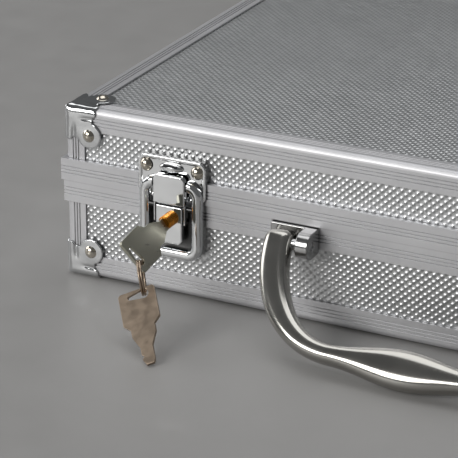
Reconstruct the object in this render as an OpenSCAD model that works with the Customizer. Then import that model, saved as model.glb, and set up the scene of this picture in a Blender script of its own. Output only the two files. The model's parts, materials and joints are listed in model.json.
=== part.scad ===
// Poker chip case: a shallow aluminium-edged case with a hinged lid,
// two key-locked toggle latches, a folding handle and chip trays inside.
// +X runs along the length, the front faces -Y, +Z is up.
// The origin is the centre of the face that the case rests on.
// Profiles are drawn as [depth in from the shell's face, height].

/* [Case] */
// Length over the corner posts
case_l = 296.6; // [296:0.1:297.2]
// Width over the corner posts, front to back
case_w = 203.6; // [203:0.1:204.2]
// Height of the lid's top trim
case_top = 67.4; // [67.2:0.1:67.6]
// Height of the joint between base and lid
split_z = 38.5; // [38.3:0.1:38.6]
// Gap under the bottom trim, the thickness of the corner protectors
foot_gap = 0.8; // [0.7:0.1:0.9]
// Thickness of the laminated boards
board_t = 4; // [3.6:0.2:4.4]

/* [Aluminium extrusions] */
// Wall thickness of the edge trims
trim_t = 1; // [0.9:0.1:1.1]
// Width of an edge trim on each face
trim_leg = 8.65; // [8.4:0.05:8.8]
// Radius of an edge trim's outer edge
trim_r = 2.2; // [1.8:0.1:2.4]
// Height of the base rim and of the lid rim
rim_h = 8.5; // [8:0.1:9]
// How far the base rim stands proud of the trims
base_rim_proud = 0.7; // [0.5:0.1:0.8]
// How far the lid rim stands proud of the trims
lid_rim_proud = 1.4; // [1.2:0.1:1.5]
// Width of a corner post on each face
post_leg = 7.9; // [7.6:0.1:8.2]

/* [Latches] */
// Distance of each latch from the middle of the case
latch_x = 103.2; // [102:0.1:105]
// Width of the latch frame
frame_w = 25.4; // [25:0.1:26]
// Height of the latch frame
frame_h = 31.2; // [31:0.1:31.4]
// Height of the lock plug's axis
plug_z = 32; // [31.9:0.05:32.1]
// Radius of the lock plug
plug_r = 3.1; // [3.05:0.05:3.15]

/* [Handle] */
// Distance of each handle arm from the middle
arm_x = 58.4; // [58:0.1:58.8]
// Height of the handle's pivots
pivot_z = 33.3; // [33.2:0.1:33.4]
// Distance of the pivots in front of the shell
pivot_out = 6.8; // [6.8:0.1:7]
// Reach of the grip's centre line from the pivots
grip_reach = 37.4; // [37:0.1:37.6]
// Angle that the resting handle makes with the front
handle_tilt = 45; // [45:0.5:47]

/* [Keys] */
// Width of a key's bow
bow_w = 13.8; // [13.4:0.1:14]
// Length of a key's bow
bow_l = 15.3; // [15:0.1:15.5]
// Thickness of a key
key_t = 1.2; // [1:0.1:1.3]
// Angle that the key in the lock is turned to
key_roll = 50; // [48:1:52]

/* [Trays] */
// Radius of a chip channel
chip_r = 20.4; // [20.2:0.1:20.6]
// Length of a chip channel
chip_row_l = 170; // [166:1:172]

/* [Hidden] */

$fn = 48;
eps = 0.01;
front_y = -case_w / 2;
back_y = case_w / 2;
corner_at = [case_l / 2, case_w / 2];
skin = trim_t;                      // depth of the panels' faces behind the trims
inner = skin + board_t;             // depth of the boards' inner faces
base_trim_top = foot_gap + trim_leg;
base_rim_z = split_z - rim_h;
lid_rim_z = split_z + rim_h;
rim_web = 1.4;
rim_gap = 0.1;                      // half of the joint between the rims
floor_z = foot_gap + skin + board_t;
roof_z = case_top - skin - board_t;

// ---- Extrusions ----

groove_w = 0.55;
groove_d = 0.3;

// A run of grooves cut into the outer face of a profile, from low to high
function grooves(x, heights) = [
    for (h = heights) each [[x, h - groove_w / 2], [x + groove_d, h], [x, h + groove_w / 2]]
];

function arc_points(cx, cy, r, from, to, steps = 6) = [
    for (i = [0 : steps]) let (a = from + (to - from) * i / steps) [cx + r * cos(a), cy + r * sin(a)]
];

trim_grooves = [3.6, 4.9, 6.2];
rim_grooves = [2.9, 4.2, 5.5];

// L-shaped edge trim with its outer edge at [0, 0] and its legs along +x and +y
trim_profile = concat(
    [[trim_leg, 0]],
    [for (h = [6.2, 4.9, 3.6]) each [[h + groove_w / 2, 0], [h, groove_d], [h - groove_w / 2, 0]]],
    arc_points(trim_r, trim_r, trim_r, -90, -180),
    grooves(0, trim_grooves),
    [[0, trim_leg], [trim_t, trim_leg], [trim_t, trim_t], [trim_leg, trim_t]]
);

tongue_h = 2;
base_rim_profile = concat(
    [[-base_rim_proud, base_rim_z]],
    grooves(-base_rim_proud, [for (g = rim_grooves) base_rim_z + g]),
    [
        [-base_rim_proud, split_z - rim_gap], [inner + 0.4, split_z - rim_gap],
        [inner + 0.4, split_z + tongue_h], [inner + 1.4, split_z + tongue_h],
        [inner + 1.4, base_rim_z + 1], [inner, base_rim_z + 1],
        [inner, split_z - rim_web], [skin, split_z - rim_web], [skin, base_rim_z]
    ]
);

lid_rim_profile = concat(
    [[-lid_rim_proud, split_z + rim_gap]],
    grooves(-lid_rim_proud, [for (g = rim_grooves) split_z + g]),
    [
        [-lid_rim_proud, lid_rim_z], [skin, lid_rim_z], [skin, split_z + rim_web],
        [inner, split_z + rim_web], [inner, split_z + rim_gap]
    ]
);

// One mitred side of a frame: side 0 is the front, 1 right, 2 back, 3 left
module side_run(side, profile) {
    along = side % 2 == 0 ? case_l : case_w;
    across = side % 2 == 0 ? case_w : case_l;
    reach = 12;
    out = 3;
    rotate([0, 0, 90 * side]) intersection() {
        translate([-along / 2 - out, -across / 2, 0]) rotate([90, 0, 90])
            linear_extrude(along + 2 * out) polygon(profile);
        translate([0, 0, -1]) linear_extrude(case_top + 2) polygon([
            [-along / 2 - out, -across / 2 - out], [along / 2 + out, -across / 2 - out],
            [along / 2 - reach, -across / 2 + reach], [-along / 2 + reach, -across / 2 + reach]
        ]);
    }
}

module rim(profile) {
    for (side = [0 : 3]) side_run(side, profile);
}

// Plan of the shell with its four vertical edges rounded
module rounded_plan() {
    translate([-case_l / 2, -case_w / 2 + trim_r]) square([case_l, case_w - 2 * trim_r]);
    translate([-case_l / 2 + trim_r, -case_w / 2]) square([case_l - 2 * trim_r, case_w]);
    for (x = [-1, 1], y = [-1, 1])
        translate([x * (corner_at[0] - trim_r), y * (corner_at[1] - trim_r)]) circle(trim_r);
}

module base_trim(side) {
    color("gainsboro") difference() {
        intersection() {
            side_run(side, [for (p = trim_profile) [p[0], foot_gap + p[1]]]);
            linear_extrude(case_top) rounded_plan();
        }
        corner_rivet_shanks(false);
    }
}

module lid_trim(side) {
    color("gainsboro") difference() {
        intersection() {
            side_run(side, [for (p = trim_profile) [p[0], case_top - p[1]]]);
            linear_extrude(case_top + 1) rounded_plan();
        }
        corner_rivet_shanks(true);
    }
}

// ---- Boards ----

module flat_board(z) {
    translate([-case_l / 2 + skin, -case_w / 2 + skin, z])
        cube([case_l - 2 * skin, case_w - 2 * skin, board_t]);
}

// Upright board between two heights; the front and back boards run full length
module upright_board(side, low, high) {
    along = side % 2 == 0 ? case_l - 2 * skin : case_w - 2 * inner;
    across = side % 2 == 0 ? case_w : case_l;
    rotate([0, 0, 90 * side]) translate([-along / 2, -across / 2 + skin, low])
        cube([along, board_t, high - low]);
}

module base_board(side) {
    color("lightgray") difference() {
        upright_board(side, floor_z, split_z - rim_web);
        corner_rivet_shanks(false);
    }
}

module lid_board(side) {
    color("lightgray") difference() {
        upright_board(side, split_z + rim_web, roof_z);
        corner_rivet_shanks(true);
    }
}

module base_bottom_panel() {
    color("lightgray") difference() {
        flat_board(foot_gap + skin);
        corner_rivet_shanks(false);
    }
}

module lid_top_panel() {
    color("lightgray") difference() {
        flat_board(roof_z);
        corner_rivet_shanks(true);
    }
}

// ---- Corners ----

cap_t = foot_gap;
cap_r = trim_r + cap_t;
rivet_at = 10.2;                    // rivets sit this far in from both edges
rivet_r = 2.55;
rivet_h = 1.5;
shank_r = 1.3;
shank_l = 4.5;

// Mirrors its child, drawn at the [-X, -Y, low] corner, to all four corners
module at_corners() {
    for (x = [0, 1], y = [0, 1]) mirror([x, 0, 0]) mirror([0, y, 0])
        translate([-corner_at[0], -corner_at[1], 0]) children();
}

// Same corner, but turned upside down for the lid
module at_level(top) {
    if (top) translate([0, 0, case_top]) mirror([0, 0, 1]) children();
    else translate([0, 0, foot_gap]) children();
}

// The three directions of a corner's faces, with +Z pointing out of the shell
module on_three_faces() {
    mirror([0, 0, 1]) children();
    rotate([90, 0, 0]) children();
    mirror([1, -1, 0]) rotate([90, 0, 0]) children();
}

module corner_post(low, high) {
    leg = post_leg;
    marks = [3.2, 4.3, 5.4];
    plan = concat(
        [[leg, 0]],
        [for (h = [5.4, 4.3, 3.2]) each [[h + 0.25, 0], [h, groove_d], [h - 0.25, 0]]],
        arc_points(trim_r, trim_r, trim_r, -90, -180),
        grooves(0, marks),
        [[0, leg], [skin, leg], [skin, skin], [leg, skin]]
    );
    translate([0, 0, low]) linear_extrude(high - low) polygon(plan);
}

// Outline of the cap on one face: a lobe round the rivet and a tab along each edge
module cap_outline() {
    tab = 13.4;
    tab_w = 4;
    translate([-cap_t, -cap_t]) square(rivet_at + 1.4 + cap_t);
    translate([rivet_at, rivet_at]) circle(5);
    for (flip = [0, 1]) mirror([flip, -flip, 0]) {
        translate([-cap_t, -cap_t]) square([tab + cap_t - tab_w / 2, tab_w + cap_t - 0.6]);
        translate([tab - tab_w / 2, (tab_w - 0.6) / 2]) circle((tab_w - 0.6) / 2);
    }
}

// A corner block whose three edges are rounded, growing from its outer corner
module rounded_corner(r, size) {
    intersection_for (turn = [[0, 0, 0], [90, 0, 90], [0, -90, -90]]) rotate(turn)
        linear_extrude(size) {
            translate([r, 0]) square([size - r, size]);
            translate([0, r]) square([size, size - r]);
            translate([r, r]) circle(r);
        }
}

module corner_cap() {
    reach = 17;
    depth = cap_r + 0.6;
    difference() {
        intersection() {
            translate([-cap_t, -cap_t, -cap_t]) rounded_corner(cap_r, reach + cap_t);
            union() on_three_faces() translate([0, 0, -depth + cap_t]) linear_extrude(depth) cap_outline();
        }
        rounded_corner(trim_r, reach + 1);
        on_three_faces() translate([rivet_at, rivet_at, -cap_r]) cylinder(r = shank_r, h = 2 * cap_r);
    }
}

// Domed rivet standing on z = 0 with its shank below
module dome_rivet(r = rivet_r, h = rivet_h, shank = shank_l) {
    ball = (r * r + h * h) / (2 * h);
    rotate_extrude() intersection() {
        translate([0, h - ball]) circle(ball);
        square([r, h]);
    }
    translate([0, 0, -shank]) cylinder(r = shank_r, h = shank + eps);
}

// Flush rivet for the face that the case stands on
module flush_rivet() {
    translate([0, 0, -shank_l]) cylinder(r = shank_r, h = shank_l);
}

module corner_rivet_set() {
    mirror([0, 0, 1]) translate([rivet_at, rivet_at, cap_t]) children(0);
    rotate([90, 0, 0]) translate([rivet_at, rivet_at, cap_t]) children(1);
    mirror([1, -1, 0]) rotate([90, 0, 0]) translate([rivet_at, rivet_at, cap_t]) children(1);
}

module corner_rivet_shanks(top) {
    at_level(top) at_corners() corner_rivet_set() {
        translate([0, 0, -shank_l]) cylinder(r = shank_r, h = shank_l + 1);
        translate([0, 0, -shank_l]) cylinder(r = shank_r, h = shank_l + 1);
    }
}

module base_corner_posts() {
    color("gainsboro") at_corners() corner_post(base_trim_top, base_rim_z);
}

module lid_corner_posts() {
    color("gainsboro") at_corners() corner_post(lid_rim_z, case_top - trim_leg);
}

module base_corner_protectors() {
    color("silver") at_level(false) at_corners() corner_cap();
}

module lid_corner_protectors() {
    color("silver") at_level(true) at_corners() corner_cap();
}

module base_corner_rivets() {
    color("tan") at_level(false) at_corners() corner_rivet_set() {
        flush_rivet();
        dome_rivet();
    }
}

module lid_corner_rivets() {
    color("tan") at_level(true) at_corners() corner_rivet_set() {
        dome_rivet();
        dome_rivet();
    }
}

// ---- Rims ----

module base_rim() {
    color("gainsboro") rim(base_rim_profile);
}

module lid_rim() {
    color("gainsboro") rim(lid_rim_profile);
}

// ---- Trays and pad ----

tray_gap = 0.5;
tray_top = 27;
tray_floor = 1.5;
tray_l = case_l - 2 * (inner + 1.4 + tray_gap);
tray_w = case_w - 2 * (inner + 1.4 + tray_gap);
row_pitch = 2 * chip_r + 3;
side_tray_l = 2 * row_pitch + 3;
card_tray_l = tray_l - 2 * side_tray_l - 2 * tray_gap;
channel_z = floor_z + tray_floor + chip_r;

module chip_tray(side) {
    middle = side * (tray_l - side_tray_l) / 2;
    color("dimgray") difference() {
        translate([middle - side_tray_l / 2, -tray_w / 2, floor_z])
            cube([side_tray_l, tray_w, tray_top - floor_z]);
        for (row = [-0.5, 0.5])
            translate([middle + row * row_pitch, chip_row_l / 2, channel_z]) rotate([90, 0, 0])
                cylinder(r = chip_r, h = chip_row_l);
    }
}

card_l = 91;
card_w = 66;
card_depth = 18;
dice_l = 84;
dice_w = 19;
pocket_wall = 8;

module card_tray() {
    card_y = [for (i = [0, 1]) tray_w / 2 - pocket_wall - card_w / 2 - i * (card_w + pocket_wall)];
    color("dimgray") difference() {
        translate([-card_tray_l / 2, -tray_w / 2, floor_z]) cube([card_tray_l, tray_w, tray_top - floor_z]);
        for (y = card_y) translate([-card_l / 2, y - card_w / 2, tray_top - card_depth])
            cube([card_l, card_w, card_depth + 1]);
        translate([-dice_l / 2, -tray_w / 2 + pocket_wall, tray_top - 15]) cube([dice_l, dice_w, 16]);
    }
}

pad_t = 8;
pad_gap = 0.5;

module lid_pad() {
    color("dimgray") translate([-case_l / 2 + inner + pad_gap, -case_w / 2 + inner + pad_gap, roof_z - pad_t])
        cube([case_l - 2 * (inner + pad_gap), case_w - 2 * (inner + pad_gap), pad_t]);
}

// ---- Hinges ----

hinge_x = 85;
hinge_l = 36;
axis_out = 4;
knuckle_r = 2.1;
knuckle_gap = 0.3;
hinge_pin_r = 1;
hinge_bore_r = 1.05;
leaf_t = 1.2;
leaf_reach = 7.6;
knuckles = 5;
leaf_rivet_x = 12;
leaf_rivet_z = 4.6;
leaf_rivet_r = 1.8;
leaf_rivet_h = 0.9;

module at_hinges() {
    for (side = [-1, 1]) translate([side * hinge_x, back_y + axis_out, split_z]) children();
}

// Knuckles of one leaf, every second one along the pin
module hinge_knuckles(odd) {
    pitch = hinge_l / knuckles;
    for (i = [odd : 2 : knuckles - 1])
        translate([-hinge_l / 2 + i * pitch + knuckle_gap / 2, 0, 0]) rotate([0, 90, 0])
            cylinder(r = knuckle_r, h = pitch - knuckle_gap);
}

// A leaf whose back is on a rim face that stands proud by the given amount, up = 1 or -1
module hinge_leaf(proud, odd, up) {
    pitch = hinge_l / knuckles;
    thick = lid_rim_proud + leaf_t - proud;
    inner_y = -axis_out + proud;
    difference() {
        union() {
            translate([-hinge_l / 2, inner_y, up > 0 ? knuckle_r + 0.4 : -leaf_reach])
                cube([hinge_l, thick, leaf_reach - knuckle_r - 0.4]);
            for (i = [odd : 2 : knuckles - 1])
                translate([-hinge_l / 2 + i * pitch + knuckle_gap / 2, -axis_out + lid_rim_proud + 0.25,
                           up > 0 ? 0 : -knuckle_r - 0.5])
                    cube([pitch - knuckle_gap, leaf_t - 0.25, knuckle_r + 0.5]);
            hinge_knuckles(odd);
        }
        translate([-hinge_l / 2 - 1, 0, 0]) rotate([0, 90, 0]) cylinder(r = hinge_bore_r, h = hinge_l + 2);
        for (x = [-1, 1]) translate([x * leaf_rivet_x, inner_y - 1, up * leaf_rivet_z])
            rotate([-90, 0, 0]) cylinder(r = shank_r, h = 5);
    }
}

module hinge_base_leaves() {
    color("silver") at_hinges() hinge_leaf(base_rim_proud, 0, -1);
}

module hinge_lid_leaves() {
    color("silver") at_hinges() hinge_leaf(lid_rim_proud, 1, 1);
}

module hinge_pins() {
    color("silver") at_hinges() translate([-hinge_l / 2 + knuckle_gap / 2, 0, 0]) rotate([0, 90, 0])
        cylinder(r = hinge_pin_r, h = hinge_l - knuckle_gap);
}

module leaf_rivets(up) {
    face_out = lid_rim_proud + leaf_t;
    proud = up > 0 ? lid_rim_proud : base_rim_proud;
    color("tan") for (side = [-1, 1], x = [-1, 1])
        translate([side * hinge_x + x * leaf_rivet_x, back_y + face_out, split_z + up * leaf_rivet_z])
            rotate([-90, 0, 0]) dome_rivet(leaf_rivet_r, leaf_rivet_h, face_out - proud);
}

// ---- Latches, drawn at x = 0 with y = 0 on the shell's front face and +y pointing in ----

frame_low = plug_z - 15.55;
frame_face = -4.9;
frame_back = -3.2;                  // back of the part that stands in front of the lid
bezel = 4.3;
bezel_r = 6;
hook_slot = 14;                     // gap in the frame's top bar that the hook stands in
keeper_face = -lid_rim_proud - 1.2;
lever_pin_z = 36.6;
lever_pin_y = -3;
lever_pin_r = 0.9;
hook_pin_z = 32.2;
hook_pin_y = -3;
hook_pin_r = 0.8;
running = 0.05;

module at_latch(side) {
    translate([side * latch_x, front_y, 0]) children();
}

module rounded_slab(w, h, r, y_front, y_back, z_low) {
    translate([0, y_back, z_low]) rotate([90, 0, 0]) linear_extrude(y_back - y_front) {
        translate([-w / 2 + r, 0]) square([w - 2 * r, h]);
        translate([-w / 2, r]) square([w, h - 2 * r]);
        for (x = [-1, 1], z = [r, h - r]) translate([x * (w / 2 - r), z]) circle(r);
    }
}

module latch_frame() {
    color("silver") difference() {
        union() {
            rounded_slab(frame_w, frame_h, bezel_r, frame_face, frame_back, frame_low);
            intersection() {
                rounded_slab(frame_w, frame_h, bezel_r, frame_face, skin, frame_low);
                translate([-frame_w, -20, frame_low - 1])
                    cube([2 * frame_w, 40, base_rim_z - frame_low + 1]);
            }
            intersection() {
                rounded_slab(frame_w, frame_h, bezel_r, frame_face, -base_rim_proud, frame_low);
                translate([-frame_w, -20, frame_low]) cube([2 * frame_w, 40, split_z - 0.4 - frame_low]);
            }
        }
        rounded_slab(frame_w - 2 * bezel, frame_h - 2 * bezel + 1.6, bezel_r - 2.6, frame_face - 1,
                     -base_rim_proud - 0.6, frame_low + bezel - 0.8);
        translate([-hook_slot / 2, frame_face - 1, split_z]) cube([hook_slot, 5, frame_h]);
        translate([-11, lever_pin_y, lever_pin_z]) rotate([0, 90, 0]) cylinder(r = lever_pin_r, h = 22);
    }
}

module lever_pin() {
    translate([-11, lever_pin_y, lever_pin_z]) rotate([0, 90, 0]) cylinder(r = lever_pin_r, h = 22);
}

module latch_keeper() {
    plate_w = 27.2;
    low = split_z + 0.6;
    high = 55.2;
    color("silver") difference() {
        union() {
            rounded_slab(plate_w, high - low, 3.2, keeper_face, -lid_rim_proud, low);
            intersection() {
                rounded_slab(plate_w, high - low, 3.2, keeper_face, skin, low);
                translate([-plate_w, -20, lid_rim_z]) cube([2 * plate_w, 40, 20]);
            }
            translate([-4.2, keeper_face, 51.4]) rotate([0, 90, 0]) cylinder(r = 1.7, h = 8.4);
        }
        translate([-3, keeper_face - 2.4, 51.9]) cube([6, 2.2, 0.8]);
        for (x = [-1, 1]) translate([x * keeper_rivet_x, -4, keeper_rivet_z]) rotate([-90, 0, 0])
            cylinder(r = shank_r, h = 8);
    }
}

keeper_rivet_x = 10.25;
keeper_rivet_z = 51.1;

module keeper_rivets() {
    color("tan") for (side = [-1, 1]) at_latch(side) for (x = [-1, 1])
        translate([x * keeper_rivet_x, keeper_face, keeper_rivet_z]) rotate([90, 0, 0])
            dome_rivet(2.5, 1.5, skin - keeper_face);
}

lever_w = 10.6;
lever_low = 22.9;
lever_high = 37.4;
lever_front = -5;
lever_back = -4;

module latch_lever() {
    flange_w = 1;
    color("silver") difference() {
        union() {
            rounded_slab(lever_w, lever_high - lever_low, 1.8, lever_front, lever_back, lever_low);
            for (x = [-1, 1]) translate([x * (lever_w - flange_w) / 2 - flange_w / 2, lever_back - eps, 25])
                cube([flange_w, 2.2, 10.6]);
            for (x = [-1, 1]) translate([x * 4.2 - 1, lever_pin_y, lever_pin_z]) rotate([0, 90, 0])
                cylinder(r = 1.4, h = 2);
        }
        translate([-8, lever_pin_y, lever_pin_z]) rotate([0, 90, 0])
            cylinder(r = lever_pin_r + running, h = 16);
        translate([-8, hook_pin_y, hook_pin_z]) rotate([0, 90, 0]) cylinder(r = hook_pin_r, h = 16);
        translate([0, -10, plug_z]) rotate([-90, 0, 0]) cylinder(r = plug_r + running, h = 20);
    }
}

module hook_pin_pair() {
    for (x = [-1, 1]) translate([x * 5.35 - 1.05, hook_pin_y, hook_pin_z]) rotate([0, 90, 0])
        cylinder(r = hook_pin_r, h = 2.1);
}

hook_w = 12.8;
hook_low = 38.1;
hook_high = 49.3;
hook_front = -5.2;

// Upper plate with two side arms that reach down past the lever to its hook pins
module latch_hook() {
    arm_t = 0.8;
    arm_side = [
        [hook_front, hook_low + 3], [hook_front, hook_pin_z + 0.6], [hook_pin_y - 1.4, hook_pin_z],
        [hook_pin_y + 1.3, hook_pin_z], [hook_pin_y - 1.3, hook_pin_z + 1.4], [hook_pin_y - 1.3, hook_low + 3]
    ];
    color("silver") difference() {
        union() {
            rounded_slab(hook_w, hook_high - hook_low, 2, hook_front, hook_front + 1.1, hook_low);
            for (x = [-1, 1]) translate([x * (hook_w - arm_t) / 2 - arm_t / 2, 0, 0]) rotate([90, 0, 90])
                linear_extrude(arm_t) {
                    polygon(arm_side);
                    translate([hook_pin_y, hook_pin_z]) circle(1.4);
                }
        }
        translate([-8, hook_pin_y, hook_pin_z]) rotate([0, 90, 0])
            cylinder(r = hook_pin_r + running, h = 16);
    }
}

plug_mouth = -8.4;
plug_back = -2.5;
plug_collar = 0.3;
keyway_w = 4.8;
keyway_t = 1.4;
key_depth = 5;                      // length of the blade inside the plug
key_dip = 8.5;                      // the key sags this far, about the middle of that length

// Turns its child into the key's place: the blade's tip at y = 0, -y pointing out of the lock
module at_keyway(side) {
    at_latch(side) translate([0, plug_mouth + key_depth / 2, plug_z]) rotate([key_dip, 0, 0])
        rotate([0, key_roll, 0]) translate([0, key_depth / 2, 0]) children();
}

module lock_plug(side) {
    color("darkorange") difference() {
        at_latch(side) translate([0, plug_back, plug_z]) rotate([90, 0, 0]) {
            cylinder(r = plug_r, h = plug_back - plug_mouth);
            translate([0, 0, 2.8]) cylinder(r = plug_r + plug_collar, h = 1);
        }
        at_keyway(side) translate([-keyway_w / 2, -2 * key_depth, -keyway_t / 2])
            cube([keyway_w, 2 * key_depth + 0.4, keyway_t]);
    }
}

module lock_cam() {
    color("silver") translate([0, plug_back + 0.8, plug_z]) rotate([90, 0, 0]) linear_extrude(0.8) {
        circle(2);
        translate([-1.5, -4]) square([3, 4]);
    }
}

// ---- Handle ----

bracket_in = 45.7;
bracket_out = 63.8;
bracket_arm_t = 4.9;
bracket_plate = 2;
nose_r = 4.9;
handle_pin_r = 1.5;
eye_r = 3.8;

module handle_bracket(side) {
    mirror([side < 0 ? 1 : 0, 0, 0]) color("silver") translate([0, front_y, pivot_z]) difference() {
        union() {
            translate([bracket_in, -base_rim_proud - bracket_plate, -nose_r])
                cube([bracket_out - bracket_in, bracket_plate, 2 * nose_r]);
            translate([bracket_in, -pivot_out, -nose_r])
                cube([bracket_arm_t, pivot_out - base_rim_proud, 2 * nose_r]);
            translate([bracket_in, -pivot_out, 0]) rotate([0, 90, 0]) cylinder(r = nose_r, h = bracket_arm_t);
        }
        translate([bracket_in - 1, -pivot_out, 0]) rotate([0, 90, 0])
            cylinder(r = handle_pin_r, h = bracket_arm_t + 2);
    }
}

module handle_pins() {
    color("silver") for (side = [0, 1]) mirror([side, 0, 0])
        translate([bracket_in + 0.5, front_y - pivot_out, pivot_z]) rotate([0, 90, 0])
            cylinder(r = handle_pin_r, h = arm_x + 2.5 - bracket_in);
}

// Half of the handle's centre line as [x, reach], from the eye to the grip's middle
valley_x = 28;
valley_reach = 37.4;
function bezier(p, t) =
    pow(1 - t, 3) * p[0] + 3 * t * pow(1 - t, 2) * p[1] + 3 * t * t * (1 - t) * p[2] + pow(t, 3) * p[3];
arm_curve = [[arm_x, 2.6], [57.4, 18], [46, 36.6], [valley_x, valley_reach]];
bend_steps = 14;
grip_steps = 7;
half_line = concat(
    [for (i = [0 : bend_steps - 1]) bezier(arm_curve, i / bend_steps)],
    [for (i = [0 : grip_steps]) [valley_x * (1 - i / grip_steps), valley_reach + (grip_reach - valley_reach) * i / grip_steps]]
);

function ease(t) = 0.5 - 0.5 * cos(180 * min(1, max(0, t)));

// Half-widths of the section across and through the handle's plane
grip_half = [7.3, 5.5];
valley_half = [3.3, 4.6];
eye_half = [5.2, 3.8];
function section_at(x) =
    x < valley_x ? valley_half + (grip_half - valley_half) * ease(1 - x / valley_x)
                 : valley_half + (eye_half - valley_half) * ease((x - valley_x) / (arm_x - valley_x));

centre_line = concat(half_line, [for (i = [len(half_line) - 2 : -1 : 0]) [-half_line[i][0], half_line[i][1]]]);
section_sides = 14;

function section_ring(i) =
    let (last = len(centre_line) - 1,
         ahead = centre_line[min(i + 1, last)] - centre_line[max(i - 1, 0)],
         along = ahead / norm(ahead),
         size = section_at(abs(centre_line[i][0])))
    [for (k = [0 : section_sides - 1]) let (a = 360 * k / section_sides)
        [centre_line[i][0] - along[1] * size[0] * cos(a),
         size[1] * sin(a),
         -centre_line[i][1] - along[0] * size[0] * cos(a)]];

module handle_sweep() {
    n = section_sides;
    count = len(centre_line);
    points = [for (i = [0 : count - 1]) each section_ring(i)];
    sides = [for (i = [0 : count - 2], k = [0 : n - 1])
        each [[i * n + k, (i + 1) * n + k, i * n + (k + 1) % n],
              [i * n + (k + 1) % n, (i + 1) * n + k, (i + 1) * n + (k + 1) % n]]];
    polyhedron(points, concat(
        [[for (k = [0 : n - 1]) k]], sides, [[for (k = [n - 1 : -1 : 0]) (count - 1) * n + k]]));
}

module handle() {
    eye_w = 10.4;
    bore_in = 1.5;                  // how far the pin's bore lies in from the arm's middle
    bore_l = 9;
    color("silver") translate([0, front_y - pivot_out, pivot_z]) rotate([-handle_tilt, 0, 0]) difference() {
        union() {
            handle_sweep();
            for (side = [-1, 1]) translate([side * arm_x - eye_w / 2, 0, 0]) rotate([0, 90, 0])
                cylinder(r = eye_r, h = eye_w);
        }
        for (side = [-1, 1]) translate([side * (arm_x - bore_in) - bore_l / 2, 0, 0]) rotate([0, 90, 0])
            cylinder(r = handle_pin_r + running, h = bore_l);
    }
}

// ---- Keys ----

neck_w = 9;
neck_l = 8;
blade_w = 4.6;
blade_l = 7;
hole_edge = 2.5;                    // from the bow's far edge to the middle of its hole
hole_from = -2.6;
hole_to = 2.6;
hole_r = 1.85;
ring_r = 6.1;
ring_wire = 0.42;

// A key in plan: the blade's tip at y = 0, the bow further along -y
module key_plan() {
    bow_y = blade_l + neck_l;
    chamfer = 2.4;
    difference() {
        union() {
            polygon([
                [-bow_w / 2 + chamfer, -bow_y], [bow_w / 2 - chamfer, -bow_y],
                [bow_w / 2, -bow_y - chamfer], [bow_w / 2, -bow_y - bow_l + 0.8],
                [bow_w / 2 - 0.8, -bow_y - bow_l], [-bow_w / 2 + 0.8, -bow_y - bow_l],
                [-bow_w / 2, -bow_y - bow_l + 0.8], [-bow_w / 2, -bow_y - chamfer]
            ]);
            polygon([
                [-neck_w / 2, -bow_y - 1], [-neck_w / 2, -bow_y + 3], [-blade_w / 2, -blade_l],
                [blade_w / 2, -blade_l], [neck_w / 2, -bow_y + 3], [neck_w / 2, -bow_y - 1]
            ]);
            polygon([
                [-blade_w / 2, -blade_l - 1], [-blade_w / 2, -4.4], [-blade_w / 2 + 0.9, -3.4],
                [-blade_w / 2, -2.4], [-blade_w / 2 + 1.1, 0], [blade_w / 2 - 0.6, 0],
                [blade_w / 2, -1.6], [blade_w / 2, -blade_l - 1]
            ]);
        }
        translate([hole_from, -bow_y - bow_l + hole_edge]) circle(0.9);
        translate([hole_to, -bow_y - bow_l + hole_edge]) circle(hole_r);
        polygon([
            [hole_from, -bow_y - bow_l + hole_edge - 0.9], [hole_to, -bow_y - bow_l + hole_edge - hole_r],
            [hole_to, -bow_y - bow_l + hole_edge + hole_r], [hole_from, -bow_y - bow_l + hole_edge + 0.9]
        ]);
    }
}

// Solid key with the middle of the hole's round end at [hole_to, -hole_reach, 0]
hole_reach = blade_l + neck_l + bow_l - hole_edge;
module key_solid() {
    translate([0, 0, -key_t / 2]) linear_extrude(key_t) key_plan();
}

module key_in_lock() {
    color("darkkhaki") at_keyway(-1) key_solid();
}

function unit(v) = v / norm(v);
function turn_x(v, a) = [v[0], v[1] * cos(a) - v[2] * sin(a), v[1] * sin(a) + v[2] * cos(a)];
function turn_y(v, a) = [v[0] * cos(a) + v[2] * sin(a), v[1], -v[0] * sin(a) + v[2] * cos(a)];

// Where the ring passes through the first key, and how it hangs from there
ring_top = [-latch_x, front_y + plug_mouth + key_depth / 2, plug_z]
    + turn_x(turn_y([hole_to, key_depth / 2 - hole_reach, 0], key_roll), key_dip);
ring_fall = unit([0.41, -0.516, -0.754]);
ring_axis = unit([0.865, 0.481, 0.141]);
ring_bottom = ring_top + 2 * ring_r * ring_fall;

// Sends x, y and z to three given directions at a point
module place(at, x, y, z) {
    multmatrix([
        [x[0], y[0], z[0], at[0]], [x[1], y[1], z[1], at[1]], [x[2], y[2], z[2], at[2]], [0, 0, 0, 1]
    ]) children();
}

module key_ring() {
    fall = unit(ring_fall - (ring_fall * ring_axis) * ring_axis);
    color("tan") place(ring_top + ring_r * ring_fall, fall, cross(ring_axis, fall), ring_axis)
        for (z = [-1, 1]) translate([0, 0, z * ring_wire * 0.97]) rotate_extrude()
            translate([ring_r, 0]) circle(ring_wire, $fn = 16);
}

// The spare key hangs from the ring with its tip just above the table
spare_along = unit([0.526, -0.652, -0.547]);
spare_across = unit([0.848, 0.355, 0.393] - ([0.848, 0.355, 0.393] * spare_along) * spare_along);

module spare_key() {
    color("tan") place(ring_bottom, -spare_across, -spare_along, cross(spare_across, spare_along))
        rotate([0, 0, 180]) translate([-hole_to, hole_reach, 0]) key_solid();
}

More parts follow.
